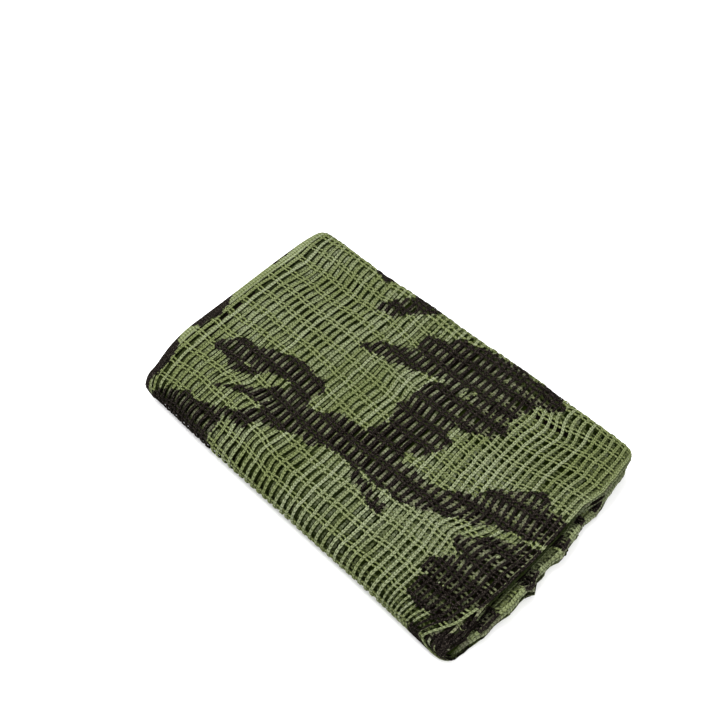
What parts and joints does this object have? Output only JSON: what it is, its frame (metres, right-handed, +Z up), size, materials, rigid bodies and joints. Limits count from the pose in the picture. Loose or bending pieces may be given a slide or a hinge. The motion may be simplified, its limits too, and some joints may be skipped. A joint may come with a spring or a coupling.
{
  "type": "folded net scarf",
  "caption": "Open cotton net scarf with a soft camouflage print, folded flat into a many-layered rectangle that lies on a surface.",
  "frame": {"origin": "on the surface that the scarf lies on, under the middle of its bounding box", "axes": "+X along the fold's long side towards the loose end, +Y across it towards the open edge, +Z up through the layers"},
  "size_m": [0.3, 0.1899, 0.0225],
  "materials": {
    "cotton_net": "matt twisted cotton yarn in an open net, sage green with near-black printed camouflage blotches"
  },
  "bodies": {
    "root": {"net_scarf": "cotton_net"}
  },
  "joints": []
}
